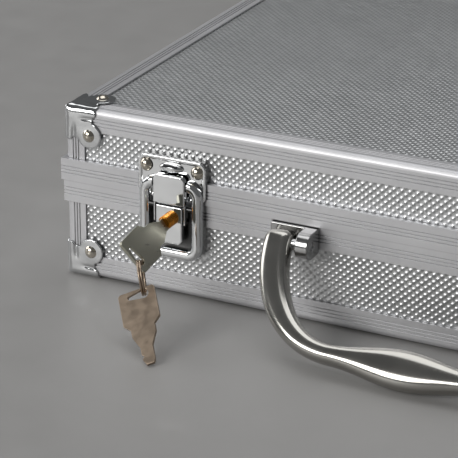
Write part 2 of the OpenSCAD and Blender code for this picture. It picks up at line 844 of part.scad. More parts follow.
base_bottom_panel();
base_board(0);  // base_front_panel
base_board(2);  // base_back_panel
base_board(3);  // base_left_panel
base_board(1);  // base_right_panel
base_trim(0);  // base_trim_front
base_trim(2);  // base_trim_back
base_trim(3);  // base_trim_left
base_trim(1);  // base_trim_right
base_rim();
base_corner_posts();
base_corner_protectors();
base_corner_rivets();
chip_tray(-1);  // chip_tray_left
chip_tray(1);  // chip_tray_right
card_tray();
lid_top_panel();
lid_board(0);  // lid_front_panel
lid_board(2);  // lid_back_panel
lid_board(3);  // lid_left_panel
lid_board(1);  // lid_right_panel
lid_trim(0);  // lid_trim_front
lid_trim(2);  // lid_trim_back
lid_trim(3);  // lid_trim_left
lid_trim(1);  // lid_trim_right
lid_rim();
lid_corner_posts();
lid_corner_protectors();
lid_corner_rivets();
lid_pad();
hinge_base_leaves();
hinge_lid_leaves();
hinge_pins();
leaf_rivets(-1);  // hinge_base_rivets
leaf_rivets(1);  // hinge_lid_rivets
at_latch(-1) latch_frame();  // latch_frame_left
at_latch(1) latch_frame();  // latch_frame_right
at_latch(-1) latch_keeper();  // latch_keeper_left
at_latch(1) latch_keeper();  // latch_keeper_right
keeper_rivets();
color("silver") for (side = [-1, 1]) at_latch(side) lever_pin();  // lever_pins
at_latch(-1) latch_lever();  // latch_lever_left
at_latch(1) latch_lever();  // latch_lever_right
color("silver") at_latch(-1) hook_pin_pair();  // hook_pins_left
color("silver") at_latch(1) hook_pin_pair();  // hook_pins_right
at_latch(-1) latch_hook();  // latch_hook_left
at_latch(1) latch_hook();  // latch_hook_right
lock_plug(-1);  // lock_plug_left
lock_plug(1);  // lock_plug_right
at_latch(-1) lock_cam();  // lock_cam_left
at_latch(1) lock_cam();  // lock_cam_right
handle_bracket(-1);  // handle_bracket_left
handle_bracket(1);  // handle_bracket_right
handle_pins();
handle();
key_in_lock();
key_ring();
spare_key();
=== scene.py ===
import json
import math

import bmesh
import bpy
from mathutils import Matrix, Vector, geometry, noise


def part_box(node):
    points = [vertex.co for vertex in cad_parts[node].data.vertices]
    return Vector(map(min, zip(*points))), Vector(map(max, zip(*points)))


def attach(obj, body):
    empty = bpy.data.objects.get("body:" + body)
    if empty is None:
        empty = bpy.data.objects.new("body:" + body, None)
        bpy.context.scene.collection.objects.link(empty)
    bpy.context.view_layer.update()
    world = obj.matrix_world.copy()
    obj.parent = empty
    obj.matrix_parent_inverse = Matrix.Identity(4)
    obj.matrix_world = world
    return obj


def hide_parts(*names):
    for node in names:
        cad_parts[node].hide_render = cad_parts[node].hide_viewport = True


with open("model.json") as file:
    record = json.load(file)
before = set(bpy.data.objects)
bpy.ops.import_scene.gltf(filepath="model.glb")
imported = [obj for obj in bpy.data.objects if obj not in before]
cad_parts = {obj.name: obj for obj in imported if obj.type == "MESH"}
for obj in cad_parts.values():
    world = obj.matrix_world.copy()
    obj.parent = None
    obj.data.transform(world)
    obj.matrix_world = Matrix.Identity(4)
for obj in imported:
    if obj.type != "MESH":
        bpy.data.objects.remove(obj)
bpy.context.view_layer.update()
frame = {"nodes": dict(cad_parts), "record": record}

scene = bpy.context.scene
cadNodes = frame["nodes"]
mm = 0.001

bodyOf = {node: body for body, names in frame["record"]["behaviour"]["bodies"].items() for node in names}
slotOf = {row["node"]: row["material_slot"] for row in frame["record"]["subparts"]}


def span(node):  # lowest and highest corner of a frame node, in millimetres
    low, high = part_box(node)
    return Vector(low) / mm, Vector(high) / mm


# camera and view

camera = dict(place=(0.22893, -0.74893, 0.33384), aim=(-0.10962, -0.04283, 0.00322), roll=0.43, lens=170.2)


def makeCamera():
    data = bpy.data.cameras.new("camera")
    data.lens = camera["lens"]
    data.clip_start = 0.01
    data.clip_end = 50
    eye = bpy.data.objects.new("camera", data)
    scene.collection.objects.link(eye)
    ahead = Vector(camera["aim"]) - Vector(camera["place"])
    turn = ahead.to_track_quat("-Z", "Y").to_matrix() @ Matrix.Rotation(math.radians(camera["roll"]), 3,
                                                                        "Z")
    eye.matrix_world = Matrix.Translation(camera["place"]) @ turn.to_4x4()
    scene.camera = eye


makeCamera()
scene.view_settings.view_transform = "Standard"
print("camera placed")


# materials

class Nodes:  # short way to add and join shader nodes
    def __init__(self, name):
        self.material = bpy.data.materials.new(name)
        self.material.use_nodes = True
        self.tree = self.material.node_tree
        self.shader = self.tree.nodes["Principled BSDF"]
        self.coords = self.tree.nodes.new("ShaderNodeTexCoord")

    def add(self, kind, **values):
        node = self.tree.nodes.new(kind)
        for key, value in values.items():
            if key in node.inputs:
                node.inputs[key].default_value = value
            else:
                setattr(node, key, value)
        return node

    def join(self, source, target):
        self.tree.links.new(source, target)

    def mapped(self, scale):
        mapping = self.add("ShaderNodeMapping")
        mapping.inputs["Scale"].default_value = scale
        self.join(self.coords.outputs["Object"], mapping.inputs["Vector"])
        return mapping.outputs["Vector"]

    def noise(self, vector, scale, detail=3, rough=0.5):
        made = self.add("ShaderNodeTexNoise", Scale=scale, Detail=detail, Roughness=rough)
        self.join(vector, made.inputs["Vector"])
        return made.outputs["Fac"]

    def ranged(self, value, low, high, fromLow=0.3, fromHigh=0.7):
        made = self.add("ShaderNodeMapRange")
        made.inputs["From Min"].default_value = fromLow
        made.inputs["From Max"].default_value = fromHigh
        made.inputs["To Min"].default_value = low
        made.inputs["To Max"].default_value = high
        self.join(value, made.inputs["Value"])
        return made.outputs["Result"]

    def tinted(self, value, first, second):
        ramp = self.add("ShaderNodeValToRGB")
        ramp.color_ramp.elements[0].position = 0.3
        ramp.color_ramp.elements[1].position = 0.7
        ramp.color_ramp.elements[0].color = (*first, 1)
        ramp.color_ramp.elements[1].color = (*second, 1)
        self.join(value, ramp.inputs["Fac"])
        return ramp.outputs["Color"]

    def bump(self, height, strength, distance, after=None):
        made = self.add("ShaderNodeBump", Strength=strength, Distance=distance)
        self.join(height, made.inputs["Height"])
        if after is not None:
            self.join(after, made.inputs["Normal"])
        self.join(made.outputs["Normal"], self.shader.inputs["Normal"])
        return made.outputs["Normal"]

    def rounded(self, radius):
        made = self.add("ShaderNodeBevel", samples=4)
        made.inputs["Radius"].default_value = radius
        return made.outputs["Normal"]


metalLooks = {  # edge rounding, the reach of painted shade in grooves and waviness are in mm
    "dimpledSheet": dict(tint=((0.74, 0.75, 0.76), (0.68, 0.69, 0.70)), rough=(0.36, 0.46),
                         grain=(400, 400, 400), bump=0.06, edge=0),
    "drawnAlongX": dict(tint=((0.80, 0.80, 0.82), (0.72, 0.72, 0.74)), rough=(0.50, 0.60),
                        grain=(8, 900, 900), bump=0.22, edge=0, paintedGrooveShade=1.1),
    "drawnAlongY": dict(tint=((0.80, 0.80, 0.82), (0.72, 0.72, 0.74)), rough=(0.50, 0.60),
                        grain=(900, 8, 900), bump=0.22, edge=0, paintedGrooveShade=1.1),
    "drawnRound": dict(tint=((0.80, 0.80, 0.82), (0.72, 0.72, 0.74)), rough=(0.50, 0.60),
                       grain=(8, 8, 900), bump=0.22, edge=0, paintedGrooveShade=1.1),
    "drawnUpright": dict(tint=((0.80, 0.80, 0.82), (0.72, 0.72, 0.74)), rough=(0.50, 0.60),
                         grain=(900, 900, 8), bump=0.22, edge=0, paintedGrooveShade=1.1),
    "cornerChrome": dict(tint=((0.74, 0.75, 0.76), (0.68, 0.69, 0.70)), rough=(0.05, 0.14),
                         grain=(60, 60, 60), bump=0.03, edge=0, wobble=1.2),
    "latchChrome": dict(tint=((0.84, 0.85, 0.86), (0.80, 0.81, 0.82)), rough=(0.03, 0.09),
                        grain=(60, 60, 60), bump=0.02, edge=0, wobble=0.25),
    "handleChrome": dict(tint=((0.50, 0.49, 0.46), (0.46, 0.45, 0.42)), rough=(0.14, 0.20),
                         grain=(80, 80, 80), bump=0.02, edge=0),
    # painted shade: bracket chrome tinted darker to stand in for its dark reflections
    "bracketShadedChrome": dict(tint=((0.46, 0.46, 0.46), (0.40, 0.40, 0.40)), rough=(0.12, 0.20),
                          grain=(80, 80, 80), bump=0.03, edge=0),
    "rivetNickel": dict(tint=((0.74, 0.69, 0.60), (0.62, 0.57, 0.49)), rough=(0.12, 0.22),
                        grain=(200, 200, 200), bump=0.05, edge=0.1),
    "hingeSteel": dict(tint=((0.66, 0.67, 0.68), (0.58, 0.59, 0.60)), rough=(0.20, 0.32),
                       grain=(200, 200, 200), bump=0.05, edge=0.15),
    "plugBrass": dict(tint=((0.80, 0.33, 0.05), (0.62, 0.24, 0.03)), rough=(0.16, 0.28),
                      grain=(300, 900, 300), bump=0.08, edge=0.1),
    # painted shade: darker copy of the latch chrome for the upright outer walls
    "sideShadeChrome": dict(tint=((0.34, 0.34, 0.34), (0.28, 0.28, 0.28)), rough=(0.12, 0.24),
                       grain=(60, 60, 60), bump=0.03, edge=0),
    # painted shade: dark brown copy of the brass for the plug's grooves
    "plugGrooveShade": dict(tint=((0.10, 0.04, 0.01), (0.06, 0.025, 0.01)), rough=(0.25, 0.4),
                       grain=(300, 300, 300), bump=0.05, edge=0),
    # painted shade: near-black metal for the latch well plate and the latch pins
    "wellShade": dict(tint=((0.10, 0.10, 0.10), (0.07, 0.07, 0.07)), rough=(0.25, 0.4),
                      grain=(200, 200, 200), bump=0.05, edge=0),
    "keyNickel": dict(tint=((0.50, 0.49, 0.41), (0.43, 0.42, 0.35)), rough=(0.26, 0.38),
                      grain=(300, 300, 300), bump=0.08, edge=0),
    "spareNickel": dict(tint=((0.44, 0.35, 0.27), (0.38, 0.30, 0.23)), rough=(0.30, 0.42),
                        grain=(300, 300, 300), bump=0.08, edge=0),
}


def metal(name):
    look = metalLooks[name]
    made = Nodes(name)
    made.shader.inputs["Metallic"].default_value = 1.0
    broad = made.noise(made.mapped((1, 1, 1)), 30, 4)
    colour = made.tinted(broad, *look["tint"])
    if look.get("paintedGrooveShade"):  # painted shade: ambient occlusion darkens the base colour in grooves
        paintedGrooveShade = made.add("ShaderNodeAmbientOcclusion", samples=6, Distance=look["paintedGrooveShade"] * mm)
        dim = made.add("ShaderNodeVectorMath", operation="SCALE")
        made.join(colour, dim.inputs[0])
        made.join(made.ranged(paintedGrooveShade.outputs["AO"], 0.30, 1.0, 0.35, 0.85), dim.inputs["Scale"])
        colour = dim.outputs["Vector"]
    made.join(colour, made.shader.inputs["Base Color"])
    grain = made.noise(made.mapped(look["grain"]), 1.0, 4, 0.6)
    made.join(made.ranged(grain, *look["rough"]), made.shader.inputs["Roughness"])
    edges = made.rounded(look["edge"] * mm) if look["edge"] else None
    if look.get("wobble"):  # thin plated sheet is never quite flat
        edges = made.bump(made.noise(made.mapped((1, 1, 1)), 130, 1), 0.6, look["wobble"] * mm)
    made.bump(grain, look["bump"], 0.05 * mm, edges)
    return made.material


clothLooks = {  # colours, weave or nap scale, bump strength and depth in mm, sheen
    # board lining cloth, also used as painted shade for the keeper slot
    "boardLiningAndSlotShade": dict(tint=((0.020, 0.020, 0.022), (0.032, 0.032, 0.034)), scale=1400, bump=0.5,
                        depth=0.10, sheen=0.15),
    "trayFlock": dict(tint=((0.016, 0.016, 0.018), (0.030, 0.030, 0.032)), scale=2600, bump=0.7,
                      depth=0.14, sheen=0.5),
    "padCloth": dict(tint=((0.018, 0.018, 0.020), (0.034, 0.034, 0.036)), scale=1100, bump=0.6, depth=0.12,
                     sheen=0.3),
}


def cloth(name):
    look = clothLooks[name]
    made = Nodes(name)
    made.shader.inputs["Roughness"].default_value = 0.95
    made.shader.inputs["Sheen Weight"].default_value = look["sheen"]
    made.shader.inputs["Sheen Roughness"].default_value = 0.5
    nap = made.noise(made.mapped((1, 1, 1)), look["scale"], 5, 0.7)
    patches = made.noise(made.mapped((1, 1, 1)), 45, 3)
    blend = made.add("ShaderNodeMath", operation="MULTIPLY")
    made.join(nap, blend.inputs[0])
    made.join(made.ranged(patches, 0.8, 1.2), blend.inputs[1])
    made.join(made.tinted(blend.outputs[0], *look["tint"]), made.shader.inputs["Base Color"])
    made.bump(nap, look["bump"], look["depth"] * mm)
    return made.material


materials = {name: metal(name) for name in metalLooks}
materials.update({name: cloth(name) for name in clothLooks})
print("materials made:", len(materials))

finishOf = {
    "corner_chrome": "cornerChrome", "latch_chrome": "latchChrome", "handle_chrome": "handleChrome",
    "rivet_nickel": "rivetNickel", "hinge_steel": "hingeSteel", "plug_brass": "plugBrass",
    "key_nickel": "keyNickel", "spare_nickel": "spareNickel", "tray_flock": "trayFlock",
    "pad_cloth": "padCloth", "dimpled_sheet": "boardLiningAndSlotShade",
}


def finishFor(node):
    # painted shade: the latch pins are dressed in the near-black well metal
    if node.startswith(("lever_pins", "hook_pins")):
        return "wellShade"
    if slotOf[node] != "anodised_extrusion":
        return finishOf[slotOf[node]]
    if node.endswith("_rim"):
        return "drawnRound"
    if node.endswith("_posts"):
        return "drawnUpright"
    return "drawnAlongX" if node.endswith(("_front", "_back")) else "drawnAlongY"


def dressFrame():
    for node, shown in cadNodes.items():
        shown.data.materials.clear()
        shown.data.materials.append(materials[finishFor(node)])


dressFrame()
print("frame nodes dressed")


# shared mesh steps, all in millimetres until a piece is finished

def finished(name, bm, body, slotName, *finishes, sharp=35, place=None, flat=False):
    if place is not None:
        bmesh.ops.transform(bm, matrix=place, verts=bm.verts)
    bmesh.ops.scale(bm, vec=(mm, mm, mm), verts=bm.verts)
    mesh = bpy.data.meshes.new(name)
    bm.to_mesh(mesh)
    bm.free()
    mesh.shade_smooth()
    mesh.set_sharp_from_angle(angle=math.radians(sharp))
    for finish in finishes:
        mesh.materials.append(materials[finish])
    piece = bpy.data.objects.new(name, mesh)
    scene.collection.objects.link(piece)
    if flat:  # broad faces stay flat between their rounded edges
        even = piece.modifiers.new("flat faces", "WEIGHTED_NORMAL")
        even.keep_sharp = True
        even.weight = 90
    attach(piece, body)
    return piece


def nodeCopy(node):  # a node's mesh, merged, in millimetres
    bm = bmesh.new()
    bm.from_mesh(cadNodes[node].data)
    bmesh.ops.scale(bm, vec=(1 / mm, 1 / mm, 1 / mm), verts=bm.verts)
    bmesh.ops.remove_doubles(bm, verts=bm.verts, dist=0.002)
    return bm


def softened(node, width, finish, segments=2, sharpest=30):  # a node with its sharp edges rounded
    bm = nodeCopy(node)
    bmesh.ops.dissolve_limit(bm, angle_limit=math.radians(1), verts=bm.verts, edges=bm.edges)
    edges = [e for e in bm.edges if len(e.link_faces) == 2 and e.calc_face_angle() > math.radians(sharpest)]
    bmesh.ops.bevel(bm, geom=edges, offset=width, offset_type="OFFSET", affect="EDGES", segments=segments,
                    profile=0.5, material=-1, clamp_overlap=True)
    piece = finished(node + "_piece", bm, bodyOf[node], slotOf[node], finish, flat=True)
    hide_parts(node)
    return piece


def roundedPlate(bm, width, height, radius, middle=(0, 0, 0), radiusLow=None, segments=8):
    made = bmesh.ops.create_grid(bm, x_segments=1, y_segments=1, size=0.5)["verts"]
    bmesh.ops.scale(bm, vec=(width, height, 1), verts=made)
    bmesh.ops.translate(bm, vec=middle, verts=made)
    corners = {radius: [v for v in made if v.co.y > middle[1]]}
    low = radius if radiusLow is None else radiusLow
    corners.setdefault(low, []).extend(v for v in made if v.co.y < middle[1])
    face = made[0].link_faces[0]
    for size, verts in corners.items():
        bmesh.ops.bevel(bm, geom=verts, offset=size, affect="VERTICES", segments=segments, profile=0.5,
                        material=-1)
        face = max(bm.faces, key=lambda f: f.calc_area()) if not face.is_valid else face
    return face


def thickened(bm, faces, depth):  # extrudes flat faces along +Z
    grown = bmesh.ops.extrude_face_region(bm, geom=faces)["geom"]
    moved = [g for g in grown if isinstance(g, bmesh.types.BMVert)]
    bmesh.ops.translate(bm, vec=(0, 0, depth), verts=moved)
    bmesh.ops.recalc_face_normals(bm, faces=bm.faces)
    return moved


def roundedEdges(bm, edges, offset, segments=4):
    bmesh.ops.bevel(bm, geom=edges, offset=offset, offset_type="OFFSET", affect="EDGES", segments=segments,
                    profile=0.5, material=-1, clamp_overlap=True)


def flatEdges(bm, level, sharpest=40):  # sharp edges that lie at one height
    return [e for e in bm.edges if len(e.link_faces) == 2 and e.calc_face_angle() > math.radians(sharpest)
            and all(abs(v.co.z - level) < 0.01 for v in e.verts)]


frontY = span("base_trim_front")[0].y
faceOn = Matrix.Rotation(math.radians(90), 4, "X")  # x across, y up, z out of the front


def onFront(x):
    return Matrix.Translation((x, frontY, 0)) @ faceOn


# dimpled sheets

sheet = dict(pitchX=2.917, pitchY=2.76, dome=0.42, sharpness=2.8, sidePerPitch=6, topPerPitch=4, lift=0.02,
             edgeGap=0.06, postLeg=7.9)


def domeHeight(x, y):
    acrossWave = math.cos(2 * math.pi * x / sheet["pitchX"])
    upWave = math.cos(2 * math.pi * y / sheet["pitchY"])
    wave = 0.5 + 0.5 * acrossWave * upWave
    return sheet["dome"] * wave ** sheet["sharpness"]


def domeNormal(x, y, step=0.02):
    slopeX = (domeHeight(x + step, y) - domeHeight(x - step, y)) / (2 * step)
    slopeY = (domeHeight(x, y + step) - domeHeight(x, y - step)) / (2 * step)
    return Vector((-slopeX, -slopeY, 1)).normalized()


def dimpledSheet(name, body, middle, across, up, width, height, shift=0.0, perPitch=sheet["topPerPitch"]):
    countX = round(width / sheet["pitchX"] * perPitch)
    countY = round(height / sheet["pitchY"] * perPitch)
    bm = bmesh.new()
    bmesh.ops.create_grid(bm, x_segments=countX, y_segments=countY, size=0.5)
    bmesh.ops.scale(bm, vec=(width, height, 1), verts=bm.verts)
    for vert in bm.verts:
        vert.co.z = domeHeight(vert.co.x + shift, vert.co.y)
    turn = Matrix((across, up, Vector(across).cross(up))).transposed()
    normals = [turn @ domeNormal(v.co.x + shift, v.co.y) for v in bm.verts]
    place = Matrix.Translation(middle) @ turn.to_4x4()
    piece = finished(name, bm, body, "dimpled_sheet", "dimpledSheet", sharp=180, place=place)
    piece.data.normals_split_custom_set_from_vertices(normals)
    return piece


def makeSheets():
    gap = sheet["edgeGap"]
    lift = sheet["lift"]
    for body in ("base", "lid"):
        trimLow, trimHigh = span(body + "_trim_front")
        if body == "base":
            low, high = trimHigh.z + gap, span("base_corner_posts")[1].z - gap
        else:
            low, high = span("lid_corner_posts")[0].z + gap, trimLow.z - gap
        midZ = (low + high) / 2
        sides = {
            "front": ((1, 0, 0), "x"), "back": ((-1, 0, 0), "x"),
            "left": ((0, -1, 0), "y"), "right": ((0, 1, 0), "y"),
        }
        for side, (across, axis) in sides.items():
            panelLow, panelHigh = span(f"{body}_{side}_panel")
            outward = Vector(across).cross((0, 0, 1))
            post = span(body + "_corner_posts")[1]
            width = 2 * (getattr(post, axis) - sheet["postLeg"] - gap)
            face = panelHigh if outward.x + outward.y > 0 else panelLow
            middle = Vector((face.x if axis == "y" else 0, face.y if axis == "x" else 0,
                             midZ)) + outward * lift
            dimpledSheet(f"{body}_{side}_sheet", body, middle, across, (0, 0, 1), width, high - low,
                         perPitch=sheet["sidePerPitch"])
    for body, node, up in (("lid", "lid_top_panel", 1), ("base", "base_bottom_panel", -1)):
        panelLow, panelHigh = span(node)
        trim = span(body + "_corner_posts")[1]
        leg = span(body + "_trim_front")
        inset = leg[1].z - leg[0].z + gap
        half = trim.x - inset
        depth = 2 * (trim.y - inset)
        level = panelHigh.z + lift if up > 0 else panelLow.z - lift
        for side in (-1, 1):
            middle = (side * half / 2, 0, level)
            name = f"{node.replace('_panel', '')}_sheet_{'left' if side < 0 else 'right'}"
            dimpledSheet(name, body, middle, (1, 0, 0), (0, up, 0), half, depth, side * half / 2)


makeSheets()
print("dimpled sheets laid")


# corner protectors: the frame's caps, pressed smooth with creased tabs

cap = dict(voxel=0.3, smoothing=5, crown=0.25, creaseDepth=0.42, creaseWidth=0.75, creaseFrom=5.5,
           creaseTo=12.5, creaseAt=3.6, rivetAt=10.2)


def remeshed(bm, voxel):
    mesh = bpy.data.meshes.new("remesh")
    bm.to_mesh(mesh)
    bm.free()
    source = bpy.data.objects.new("remesh", mesh)
    scene.collection.objects.link(source)
    modifier = source.modifiers.new("remesh", "REMESH")
    modifier.mode = "VOXEL"
    modifier.voxel_size = voxel
    depsgraph = bpy.context.evaluated_depsgraph_get()
    made = bmesh.new()
    made.from_object(source, depsgraph)
    bpy.data.objects.remove(source)
    return made


def pressedDepth(a, b):  # how far the sheet is pressed in at distances a and b from a face's two edges
    depth = 0
    for along, aside in ((a, b), (b, a)):
        off = aside - cap["creaseAt"] - 0.06 * (cap["creaseTo"] - along)
        reach = min(1, max(0, (along - cap["creaseFrom"]) / 3))
        depth += cap["creaseDepth"] * reach * math.exp(-(off / cap["creaseWidth"]) ** 2)
    bulge = math.exp(-((a - cap["rivetAt"]) ** 2 + (b - cap["rivetAt"]) ** 2) / 30)
    return depth - cap["crown"] * bulge


def makeProtectors():
    corner = span("base_corner_posts")[1]
    top = span("lid_trim_front")[1].z
    bottom = span("base_trim_front")[0].z
    for body in ("base", "lid"):
        bm = nodeCopy(body + "_corner_protectors")
        for vert in bm.verts:
            vert.co *= mm
        bm = remeshed(bm, cap["voxel"] * mm)
        bmesh.ops.scale(bm, vec=(1 / mm, 1 / mm, 1 / mm), verts=bm.verts)
        for _ in range(cap["smoothing"]):
            bmesh.ops.smooth_vert(bm, verts=bm.verts, factor=0.5, use_axis_x=True, use_axis_y=True,
                                  use_axis_z=True)
        bm.normal_update()
        for vert in bm.verts:
            level = vert.co.z - bottom if body == "base" else top - vert.co.z
            inward = Vector((-math.copysign(1, vert.co.x), -math.copysign(1, vert.co.y),
                             1 if body == "base" else -1))
            off = Vector((corner.x - abs(vert.co.x), corner.y - abs(vert.co.y), level))
            shift = Vector((0, 0, 0))
            for axis, (first, second) in enumerate(((1, 2), (0, 2), (0, 1))):
                if body == "base" and axis == 2:
                    continue  # the face that it stands on stays flat
                near = max(0, 1 - abs(off[axis] + 0.4) / 3)
                shift[axis] = near * pressedDepth(off[first], off[second]) * inward[axis]
            vert.co += shift
        piece = finished(body + "_corner_caps", bm, body, "corner_chrome", "cornerChrome", sharp=180)
        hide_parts(body + "_corner_protectors")


makeProtectors()
print("corner protectors pressed")


# latches

latch = dict(bezel=4.3, corner=6.2, round=1.9, face=4.9, back=-0.9, opening=90, gap=13.8, tipRound=0.7,
             cornerSteps=10, arcSteps=6, wellIn=1.6, wellFace=1.2, wellThick=0.4, wellOverSplit=5.6)


def slab(bm, width, low, high, radius, back, thick, top=None):  # rounded plate, cut level at the top if asked
    before = set(bm.faces)
    roundedPlate(bm, width, high - low, radius, (0, (low + high) / 2, back))
    made = [f for f in bm.faces if f not in before]
    if top is not None:
        around = list({v for f in made for v in f.verts}) + list({e for f in made for e in f.edges}) + made
        bmesh.ops.bisect_plane(bm, geom=around, dist=0.0001, plane_co=(0, top, 0), plane_no=(0, 1, 0),
                               clear_outer=True)
        made = [f for f in bm.faces if f not in before]
    grown = bmesh.ops.extrude_face_region(bm, geom=made)["geom"]
    bmesh.ops.translate(bm, vec=(0, 0, thick),
                        verts=[g for g in grown if isinstance(g, bmesh.types.BMVert)])
    return [f for f in bm.faces if f not in before]


def bezelOutline(width, low, high, splitZ):  # places and outward directions, right end to left end
    half, corner = width / 2, latch["corner"]
    middles = ((half - corner, high - corner, latch["opening"], 0), (half - corner, low + corner, 0, -90),
               (corner - half, low + corner, -90, -180), (corner - half, high - corner, -180,
                                                          -180 - latch["opening"]))
    outline = []
    for x, y, first, last in middles:
        for i in range(latch["cornerSteps"] + 1):
            angle = math.radians(first + (last - first) * i / latch["cornerSteps"])
            out = Vector((math.cos(angle), math.sin(angle), 0))
            outline.append((Vector((x, y, 0)) + out * corner, out))
    rights = [(Vector((half, splitZ + off, 0)), Vector((1, 0, 0))) for off in (0.02, -0.02)]
    lefts = [(Vector((-half, splitZ + off, 0)), Vector((-1, 0, 0))) for off in (-0.02, 0.02)]
    step = latch["cornerSteps"] + 1
    return outline[:step] + rights + outline[step:3 * step] + lefts + outline[3 * step:]


def bezelSection():  # closed, as [in from the outline, out from the case]
    size, deep, face = latch["bezel"], latch["round"], latch["face"]
    section = [(0, latch["back"])]
    for middle, start in ((deep, 180), (size - deep, 90)):
        for i in range(latch["arcSteps"] + 1):
            angle = math.radians(start - 90 * i / latch["arcSteps"])
            section.append((middle + deep * math.cos(angle), face - deep + deep * math.sin(angle)))
    return section + [(size, latch["back"])]


def paintSideShade(bm):  # painted shade: the upright outer walls take a rougher, darker copy of the chrome
    for face in bm.faces:
        if abs(face.normal.z) < 0.2 and face.calc_center_median().z < 3.1:
            face.material_index = 2


def makeLatchFrame(side):
    node = "latch_frame_" + side
    low, high = span(node)
    width = high.x - low.x
    splitZ = span("base_rim")[0].z
    rimFace = frontY - span("base_rim")[0].y + 0.02
    section = bezelSection()
    bm = bmesh.new()
    ring = bmesh.ops.create_circle(bm, segments=len(section), radius=1)["verts"]
    for vert, (inward, out) in zip(ring, section):
        vert.co = (inward, out, 0)
    edges = list({e for v in ring for e in v.link_edges})
    last = None
    for place, outward in bezelOutline(width, low.z, high.z, splitZ):
        along = Vector((0, 0, 1)).cross(outward)
        here = Matrix(((-outward).to_4d(), (0, 0, 1, 1), along.to_4d(), place.to_4d())).transposed()
        here[3] = (0, 0, 0, 1)
        if last:
            grown = bmesh.ops.extrude_edge_only(bm, edges=edges)["geom"]
            ring = [g for g in grown if isinstance(g, bmesh.types.BMVert)]
            edges = [g for g in grown if isinstance(g, bmesh.types.BMEdge)]
        bmesh.ops.transform(bm, matrix=here @ last.inverted() if last else here, verts=ring)
        last = here
    for cut in (1, -1):  # straight ends beside the hook
        middles = {f: f.calc_center_median() for f in bm.faces}
        shoulder = high.z - latch["corner"]
        upper = [f for f, middle in middles.items() if middle.y > shoulder and middle.x * cut > 0]
        around = list({v for f in upper for v in f.verts}) + list({e for f in upper for e in f.edges}) + upper
        bmesh.ops.bisect_plane(bm, geom=around, dist=0.0001, plane_co=(cut * latch["gap"] / 2, 0, 0),
                               plane_no=(-cut, 0, 0), clear_outer=True)
    caps = bmesh.ops.holes_fill(bm, edges=[e for e in bm.edges if len(e.link_faces) == 1], sides=0)["faces"]
    for vert in bm.verts:
        if vert.co.y > splitZ and vert.co.z < 0:
            vert.co.z = rimFace
    tips = list({e for f in caps for e in f.edges if max(v.co.z for v in e.verts) > rimFace + 0.5})
    roundedEdges(bm, tips, latch["tipRound"], 3)
    well = slab(bm, width - 2 * latch["wellIn"], low.z + latch["wellIn"], high.z,
                latch["corner"] - latch["wellIn"], latch["wellFace"] - latch["wellThick"], latch["wellThick"],
                top=splitZ + latch["wellOverSplit"])
    bmesh.ops.recalc_face_normals(bm, faces=bm.faces)
    paintSideShade(bm)
    # painted shade: the well plate behind the hook and lever is near-black
    for face in well:
        face.material_index = 1
    place = onFront((low.x + high.x) / 2)
    piece = finished("latch_bezel_" + side, bm, "base", "latch_chrome", "latchChrome", "wellShade",
                     "sideShadeChrome", place=place)
    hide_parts(node)


keeper = dict(radius=3.2, rim=1.3, dish=0.35, round=0.45, hoodWide=9.6, hoodHigh=3.6, hoodProud=1.75,
              hoodZ=51.4, slotWide=5.6, slotHigh=0.8)


def makeKeeper(side):
    node = "latch_keeper_" + side
    low, high = span(node)
    width = high.x - low.x
    rimTop = span("lid_corner_posts")[0].z
    rimFace = frontY - span("lid_rim")[0].y
    face = rimFace + 1.2
    bm = bmesh.new()
    plate = roundedPlate(bm, width, high.z - low.z, keeper["radius"], (0, (low.z + high.z) / 2, rimFace))
    thickened(bm, [plate], face - rimFace)
    front = max(bm.faces, key=lambda f: f.calc_area() + 1000 * f.calc_center_median().z)
    bmesh.ops.inset_region(bm, faces=[front], thickness=keeper["rim"], depth=0)
    bmesh.ops.inset_region(bm, faces=[front], thickness=keeper["dish"], depth=-keeper["dish"])
    roundedEdges(bm, flatEdges(bm, face), keeper["round"], 3)
    before = set(bm.faces)
    roundedPlate(bm, width, high.z - low.z, keeper["radius"], (0, (low.z + high.z) / 2, -0.9))
    foot = [f for f in bm.faces if f not in before]
    around = list({v for f in foot for v in f.verts}) + list({e for f in foot for e in f.edges}) + foot
    bmesh.ops.bisect_plane(bm, geom=around, dist=0.0001, plane_co=(0, rimTop, 0), plane_no=(0, -1, 0),
                           clear_outer=True)
    foot = [f for f in bm.faces if f not in before]
    grown = bmesh.ops.extrude_face_region(bm, geom=foot)["geom"]
    bmesh.ops.translate(bm, vec=(0, 0, rimFace + 0.95),
                        verts=[g for g in grown if isinstance(g, bmesh.types.BMVert)])
    hood = bmesh.ops.create_uvsphere(bm, u_segments=32, v_segments=16, radius=0.5)["verts"]
    bmesh.ops.scale(bm, vec=(keeper["hoodWide"], keeper["hoodHigh"], 2 * keeper["hoodProud"]), verts=hood)
    bmesh.ops.translate(bm, vec=(0, keeper["hoodZ"], face - 0.1), verts=hood)
    beforeSlot = set(bm.faces)
    slot = bmesh.ops.create_cube(bm, size=1)["verts"]
    bmesh.ops.scale(bm, vec=(keeper["slotWide"], keeper["slotHigh"], 1.6), verts=slot)
    bmesh.ops.translate(bm, vec=(0, keeper["hoodZ"] + 0.9, face + 0.72), verts=slot)
    slotEdges = list({e for v in slot for e in v.link_edges})
    roundedEdges(bm, slotEdges, 0.15, 2)
    bmesh.ops.recalc_face_normals(bm, faces=bm.faces)
    paintSideShade(bm)
    # painted shade: the slot box takes the black lining cloth to stand for the dark opening
    for made in bm.faces:
        if made not in beforeSlot:
            made.material_index = 1
    place = onFront((low.x + high.x) / 2)
    piece = finished("keeper_plate_" + side, bm, "lid", "latch_chrome", "latchChrome", "boardLiningAndSlotShade",
                     "sideShadeChrome", place=place, flat=True)
    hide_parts(node)


